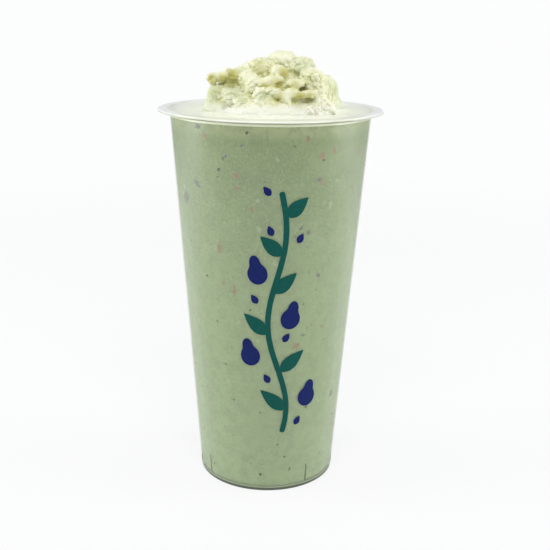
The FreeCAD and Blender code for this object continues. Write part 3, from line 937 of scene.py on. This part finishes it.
# The flesh is painted olive yellow as shade under folds, knobs and the branch, greyish
# green where it is cool and icy, and nearly white at the pale spots: frosted flesh, and
# painted light lifting the shade under the right block.
OLIVE_SHADE_SPOTS = (
    ((-15.4, -10.0, 15.0), 3.0, 0.95),
    ((-19.2, -10.0, 13.4), 2.6, 0.9),
    ((-16.4, -10.0, 12.2), 2.6, 0.9),
    ((-24.4, -10.2, 13.4), 2.3, 0.85),
    ((-22.4, -9.8, 12.6), 1.6, 0.6),
    ((-7.4, -14.8, 10.2), 2.4, 0.55),
    ((5.6, -14.0, 16.8), 2.8, 0.85),
    ((2.4, -18.4, 12.6), 3.2, 0.6),
    ((-3.4, -17.6, 12.2), 2.2, 0.35),
    ((12.0, -22.4, 7.4), 2.8, 1.0),
    ((15.6, -20.8, 8.4), 3.0, 0.7),
    ((3.4, -21.6, 7.6), 2.2, 0.7),
    ((-23.4, -12.0, 8.6), 2.4, 0.4),
    ((9.0, -20.0, 11.6), 2.6, 0.4),
    ((16.0, -17.6, 11.6), 3.4, 0.4),
    ((1.5, -23.6, 6.6), 2.8, 0.45),
    ((-5.4, -9.8, 19.0), 2.6, 0.45),
)
COOL_SPOTS = (
    ((-23.6, -11.4, 8.0), 3.4, 1.0),
    ((-23.0, -11.0, 4.5), 4.4, 0.7),
    ((-26.0, -12.0, 1.4), 4.6, 0.35),
    ((-15.5, -12.5, 9.5), 4.5, 0.6),
    ((-11.0, -19.0, 5.0), 3.6, 0.5),
    ((-17.0, -10.6, 11.4), 2.6, 0.7),
    ((27.4, -8.0, 10.0), 3.4, 0.75),
    ((23.4, -11.0, 12.0), 4.0, 0.35),
    ((28.6, -3.0, 5.0), 4.0, 0.6),
    ((13.4, -9.0, 18.0), 4.8, 0.75),
    ((-3.0, -21.0, 7.6), 2.4, 0.9),
    ((0.6, -22.4, 8.0), 2.0, 0.5),
    ((-7.4, -15.2, 9.4), 2.4, 0.5),
    ((11.8, -10.0, 18.6), 2.6, 0.5),
    ((-4.0, 21.0, 9.0), 7.0, 0.7),
)
# The pale spots whiten frosted flesh; the one under the right block is painted light that lifts
# its shade.
PALE_SPOTS = (
    ((20.8, -17.4, 5.4), 5.5, 0.8),
    ((15.5, -21.0, 3.4), 4.5, 0.6),
    ((22.6, -9.5, 14.0), 3.6, 0.5),
    ((4.2, -4.5, 22.5), 5.0, 0.4),
    ((-13.4, -12.0, 8.2), 3.0, 0.8),
    ((17.4, -16.4, 12.0), 2.6, 0.6),
    ((-6.0, 14.0, 15.0), 5.0, 0.6),
)
olive_shade = near_spots(places, OLIVE_SHADE_SPOTS)

heap_mesh.vertices.foreach_set("co", (places * MM + np.array((0, 0, LEVEL))).ravel())
for name, values in (
        ("crevice", crevice), ("valley", valley), ("olive_shade", olive_shade),
        ("cool", near_spots(places, COOL_SPOTS)), ("pale", near_spots(places, PALE_SPOTS))):
    layer = heap_mesh.attributes.new(name, "FLOAT", "POINT")
    layer.data.foreach_set("value", values.astype(np.float32))
heap_mesh.polygons.foreach_set("use_smooth", np.ones(len(heap_mesh.polygons), bool))
heap_mesh.update()
heap_mesh.name = "curd_heap"
heap = bpy.data.objects.new("curd_heap", heap_mesh)
bpy.context.scene.collection.objects.link(heap)

icy_curd, tree = start_material("icy_avocado_curd")
place, _, height = own_place(tree)
crevice_value, valley_value, olive_shade_value, cool_value, pale_value = [
    node(tree, "ShaderNodeAttribute", attribute_name=name).outputs["Fac"]
    for name in ("crevice", "valley", "olive_shade", "cool", "pale")]
drift = ramped(tree, grain(tree, place, 150, 4), 0.38, 0.64)
speckle = ramped(tree, grain(tree, place, 1300, 3, 0.7), 0.48, 0.72)
# Valleys and creases are painted darker and yellower as shade.
in_valley = ramped(tree, valley_value, -0.1, 1.1)
in_crevice = ramped(tree, crevice_value, -0.02, 0.28)
# Convex tips are painted whiter as highlight.
tip_highlight = ramped(tree, crevice_value, -0.08, -0.36)
slushy = ramped(tree, height, LEVEL + 6.0 * MM, LEVEL + 2.2 * MM)
curd_colour = blended(tree, drift, rgb(242, 243, 217), rgb(230, 232, 191))
for share, strength, tint in (
        (speckle, 0.45, (214, 211, 152)), (in_valley, 0.75, (206, 205, 132)),
        (in_crevice, 0.5, (178, 179, 112)), (tip_highlight, 0.4, (248, 249, 233)),
        (olive_shade_value, 0.9, (187, 180, 66)), (slushy, 0.8, (240, 242, 232)),
        (pale_value, 0.7, (245, 247, 232)), (cool_value, 0.85, (193, 202, 158))):
    curd_colour = tinted(tree, curd_colour, share, strength, tint)
curd_bump = node(tree, "ShaderNodeBump", {
    "Height": grain(tree, place, 2600, 4, 0.7), "Distance": 0.12 * MM, "Strength": 0.5})
curd_shader = node(tree, "ShaderNodeBsdfPrincipled", {
    "Base Color": curd_colour,
    "Roughness": ramped(tree, speckle, 0, 1, 0.38, 0.6),
    "IOR": AVOCADO_IOR,
    "Subsurface Weight": 0.3,
    "Subsurface Radius": (1.0, 0.95, 0.5),
    "Subsurface Scale": 1.2 * MM,
    "Normal": curd_bump.outputs[0]})
dress(heap, icy_curd, curd_shader)
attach(heap, "root")
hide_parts("topping")

# ---- Ice grains and pink crumbs ---------------------------------------------------
# Loose grains of the same ice lie where the heap tore and round its foot, and a few
# pinkish crumbs of frozen fruit lie on the ridge in front. They froze onto the curds.

ICE_GRAINS, PINK_CRUMBS = 260, 46
ICE_IOR = 1.33
PINK_SPOTS = (
    ((19.0, -20.5, 5.0), 5.5, 1.0),
    ((14.0, -23.0, 2.4), 4.0, 1.0),
    ((-21.5, -15.0, 2.0), 3.5, 1.0),
    ((-6.0, 17.0, 12.0), 5.0, 0.5),
)


def crumb_mesh(spots, seed):
    """Vertices and faces of uneven crumbs, each from a spot and a half size in mm."""
    draw = random.Random(seed)
    vertices, faces = [], []
    for place, half in spots:
        ball_vertices, ball_faces = ellipsoid(
            (0, 0, 0), (half * draw.uniform(0.9, 1.5), half, half * draw.uniform(0.6, 0.9)),
            draw.uniform(0, 180), draw.uniform(-40, 40), fineness=1)
        first = len(vertices)
        shift = Vector([draw.uniform(0, 50) for _ in range(3)])
        for v in ball_vertices:
            lumpy = 1 + 0.55 * noise.noise(v / half * 0.9 + shift)
            vertices.append((Vector(place) + v * lumpy) * MM + Vector((0, 0, LEVEL)))
        faces.extend([[first + index for index in face] for face in ball_faces])
    return vertices, faces


torn = near_spots(places, TORN_SPOTS)
pinkness = near_spots(places, PINK_SPOTS)
grain_spots, pink_spots = [], []
while len(grain_spots) < ICE_GRAINS:
    pick = draw.randrange(len(places))
    place, outward = places[pick], normals[pick]
    low = exp(-((place[2] - 1.2) / 1.4) ** 2)
    chance = (0.03 + 0.8 * torn[pick] + 0.2 * low) * (1 - olive_shade[pick])
    if place[2] < 0.5 or draw.random() > chance:
        continue
    half = draw.uniform(0.2, 0.5)
    grain_spots.append((place + outward * half * 0.1, half))
while len(pink_spots) < PINK_CRUMBS:
    pick = draw.randrange(len(places))
    if draw.random() > pinkness[pick]:
        continue
    half = draw.uniform(0.22, 0.5)
    pink_spots.append((places[pick] + normals[pick] * half * 0.1, half))

for name, spots, tint, other, seed in (
        ("ice_grains", grain_spots, (246, 246, 222), (228, 229, 184), 3),
        ("pink_crumbs", pink_spots, (240, 230, 210), (232, 204, 184), 9)):
    crumbs = make_piece(name, *crumb_mesh(spots, seed))
    crumb_ice, tree = start_material(name + "_ice")
    place = node(tree, "ShaderNodeTexCoord").outputs["Object"]
    patch = ramped(tree, grain(tree, place, 420, 3), 0.42, 0.62)
    crumb_shader = node(tree, "ShaderNodeBsdfPrincipled", {
        "Base Color": blended(tree, patch, rgb(*tint), rgb(*other)),
        "Roughness": ramped(tree, patch, 0, 1, 0.35, 0.55),
        "IOR": ICE_IOR,
        "Subsurface Weight": 0.25,
        "Subsurface Radius": (1.0, 0.95, 0.6),
        "Subsurface Scale": 0.6 * MM})
    dress(crumbs, crumb_ice, crumb_shader)
    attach(crumbs, "root")

# ---- Studio -----------------------------------------------------------------------
# A pale paper floor that curves up behind, soft lamps at both sides, above and in
# front, and the camera a little over the rim, looking down on the whole cup.

SWEEP_HALF, SWEEP_BEND, SWEEP_BACK = 3.0, 0.8, 1.6
BEND_STEPS = 12
PAPER_WHITE = (0.98, 0.985, 0.985, 1)
AIR_STRENGTH = 0.39
CUP_MIDDLE = (0, 0, 0.09)
LENS_LENGTH = 59.0
CAMERA_PLACE = (2.84 * MM, -385.5 * MM, 203.4 * MM)
CAMERA_PITCH, CAMERA_ROLL = radians(90 - 16.34), radians(0.84)

sweep_profile = [(-SWEEP_HALF, 0.0), (SWEEP_BACK, 0.0)]
for step in range(1, BEND_STEPS + 1):
    bend = radians(90 * step / BEND_STEPS)
    sweep_profile.append(
        (SWEEP_BACK + SWEEP_BEND * sin(bend), SWEEP_BEND * (1 - cos(bend))))
sweep_profile.append((SWEEP_BACK + SWEEP_BEND, SWEEP_HALF))
sweep_vertices = [
    (side * SWEEP_HALF, back, height) for back, height in sweep_profile for side in (-1, 1)]
sweep_faces = [
    (2 * i, 2 * i + 1, 2 * i + 3, 2 * i + 2) for i in range(len(sweep_profile) - 1)]
sweep = make_piece("pale_sweep", sweep_vertices, sweep_faces, sharp=80)

paper, tree = start_material("pale_paper")
rays = node(tree, "ShaderNodeLightPath")
place = node(tree, "ShaderNodeTexCoord").outputs["Object"]
paper_colour = blended(tree, grain(tree, place, 3), rgb(238, 240, 240), rgb(243, 244, 244))
matt = node(tree, "ShaderNodeBsdfDiffuse", {"Color": paper_colour})
white = node(tree, "ShaderNodeEmission", {"Color": PAPER_WHITE, "Strength": 1.0})
seen = rays.outputs["Is Camera Ray"]
away = node(tree, "ShaderNodeVectorMath", {0: place}, operation="LENGTH").outputs["Value"]
clean = ramped(tree, away, 0.15, 0.9, 0.82, 1.0)
paper_mix = node(tree, "ShaderNodeMixShader", {
    0: maths(tree, "MULTIPLY", seen, clean), 1: matt.outputs[0], 2: white.outputs[0]})
dress(sweep, paper, paper_mix)


def soft_lamp(name, place, target, width, height, watts):
    """A rectangular soft lamp aimed at a point."""
    light = bpy.data.lights.new(name, "AREA")
    light.shape = "RECTANGLE"
    light.size, light.size_y = width, height
    light.energy = watts
    lamp = bpy.data.objects.new(name, light)
    lamp.location = place
    lamp.rotation_euler = (Vector(target) - Vector(place)).to_track_quat("-Z", "Y").to_euler()
    bpy.context.scene.collection.objects.link(lamp)


soft_lamp("left_lamp", (-0.85, 0.0, 0.20), CUP_MIDDLE, 0.5, 0.9, 5.4)
soft_lamp("right_lamp", (0.85, 0.0, 0.20), CUP_MIDDLE, 0.5, 0.9, 4.9)
soft_lamp("top_lamp", (0, 0.15, 1.0), (0, 0, 0.16), 0.7, 0.7, 1.5)
soft_lamp("front_lamp", (0, -0.85, 1.15), CUP_MIDDLE, 1.0, 0.6, 8.0)

world = bpy.data.worlds.new("studio_air")
bpy.context.scene.world = world
world.use_nodes = True
tree = world.node_tree
tree.nodes.clear()
rays = node(tree, "ShaderNodeLightPath")
air = node(tree, "ShaderNodeBackground", {"Color": (1, 1, 1, 1), "Strength": AIR_STRENGTH})
seen_air = node(tree, "ShaderNodeBackground", {"Color": PAPER_WHITE, "Strength": 1.0})
air_mix = node(tree, "ShaderNodeMixShader", {
    0: rays.outputs["Is Camera Ray"], 1: air.outputs[0], 2: seen_air.outputs[0]})
node(tree, "ShaderNodeOutputWorld", {"Surface": air_mix.outputs[0]})

lens = bpy.data.cameras.new("front_camera")
lens.lens = LENS_LENGTH
lens.clip_start = 0.01
camera = bpy.data.objects.new("front_camera", lens)
bpy.context.scene.collection.objects.link(camera)
camera.matrix_world = (
    Matrix.Translation(CAMERA_PLACE)
    @ Matrix.Rotation(CAMERA_PITCH, 4, "X") @ Matrix.Rotation(CAMERA_ROLL, 4, "Z"))
bpy.context.scene.camera = camera
bpy.context.scene.view_settings.view_transform = "Standard"
